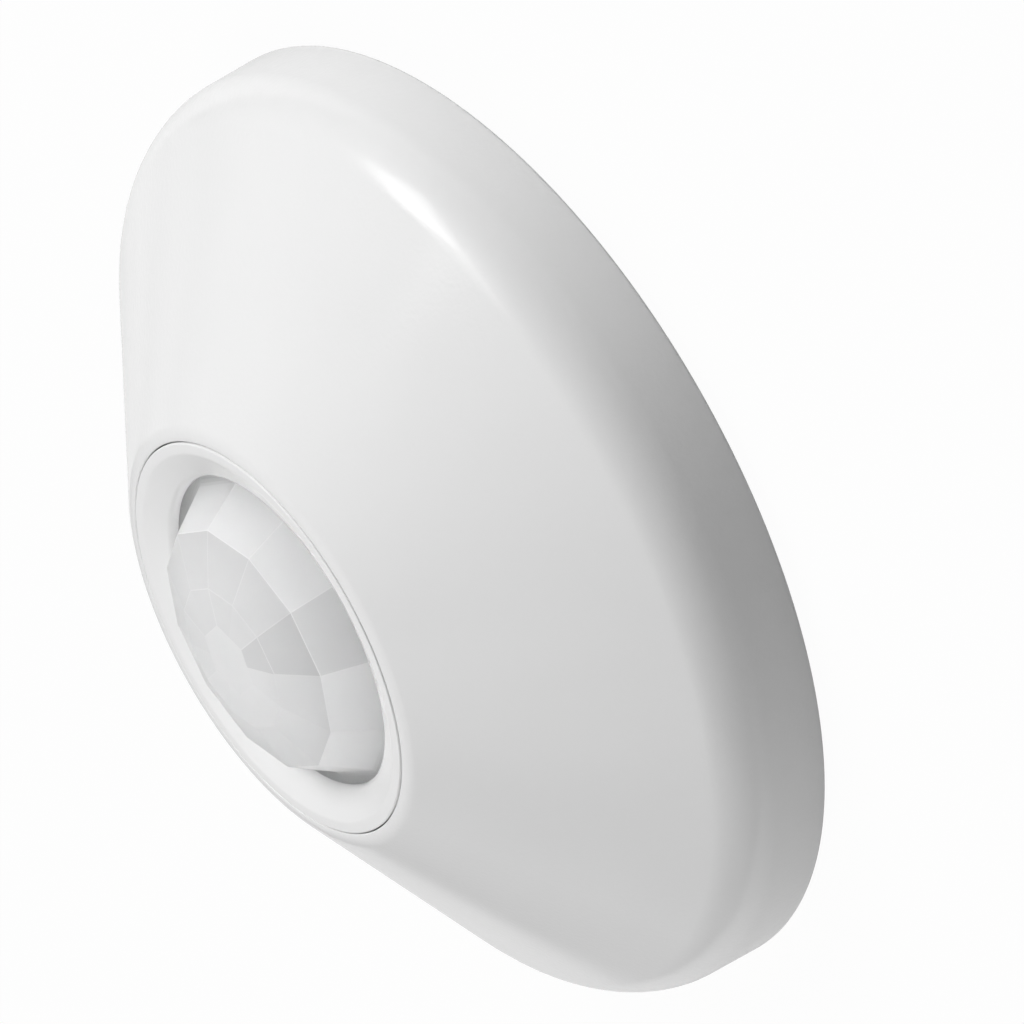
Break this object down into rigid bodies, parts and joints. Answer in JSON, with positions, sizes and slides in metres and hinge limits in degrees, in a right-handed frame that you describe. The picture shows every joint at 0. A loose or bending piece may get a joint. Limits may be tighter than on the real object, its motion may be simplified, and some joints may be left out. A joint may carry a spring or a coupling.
{
  "type": "ceiling motion sensor",
  "caption": "Round ceiling motion sensor: white conical cover on a bayonet back plate, with a dished ring round a milky faceted lens and a detector board inside.",
  "frame": {"origin": "centre of the flat mounting face at the back of the plate", "axes": "+Z out of the mounting face along the lens axis, +Y from the centre towards the wire entry"},
  "size_m": [0.1156, 0.1156, 0.0391],
  "materials": {
    "white_plastic": "satin moulded white",
    "milky_lens": "milky translucent polyethylene",
    "board_laminate": "green solder resist",
    "black_plastic": "moulded black",
    "terminal_green": "moulded green",
    "bright_steel": "bright plated",
    "window_filter": "dark infrared filter",
    "lamp_red": "clear red",
    "sleeve_blue": "printed sleeve, plain"
  },
  "bodies": {
    "base": {"mounting_plate": "white_plastic", "circuit_board": "board_laminate", "board_screw_1": "bright_steel", "board_screw_2": "bright_steel", "board_screw_3": "bright_steel", "pyro_spacer": "black_plastic", "pyro_can": "bright_steel", "pyro_window": "window_filter", "indicator_led": "lamp_red", "switch_body": "black_plastic", "relay": "black_plastic", "terminal_block": "terminal_green", "terminal_screw_1": "bright_steel", "terminal_screw_2": "bright_steel", "terminal_screw_3": "bright_steel", "terminal_screw_4": "bright_steel", "control_chip": "black_plastic", "amplifier_chip": "black_plastic", "voltage_regulator": "black_plastic", "filter_capacitor": "sleeve_blue", "supply_capacitor": "sleeve_blue"},
    "cover": {"front_cover": "white_plastic"},
    "lens_ring": {"trim_ring": "white_plastic", "fresnel_lens": "milky_lens", "lens_retainer": "white_plastic"},
    "program_button": {"program_button": "white_plastic"}
  },
  "joints": [
    {"name": "cover_twist", "type": "hinge", "parent": "base", "child": "cover", "pos_m": [0, 0, 0], "axis": [0, 0, 1], "range_deg": [0, 15]},
    {"name": "lens_ring_pull", "type": "slide", "parent": "cover", "child": "lens_ring", "axis": [0, 0, 1], "range_m": [0, 0.014]},
    {"name": "program_button_press", "type": "slide", "parent": "base", "child": "program_button", "axis": [0, 0, -1], "range_m": [0, 0.0005], "stiffness_N_per_m": 1000, "springref_m": -0.0003}
  ]
}
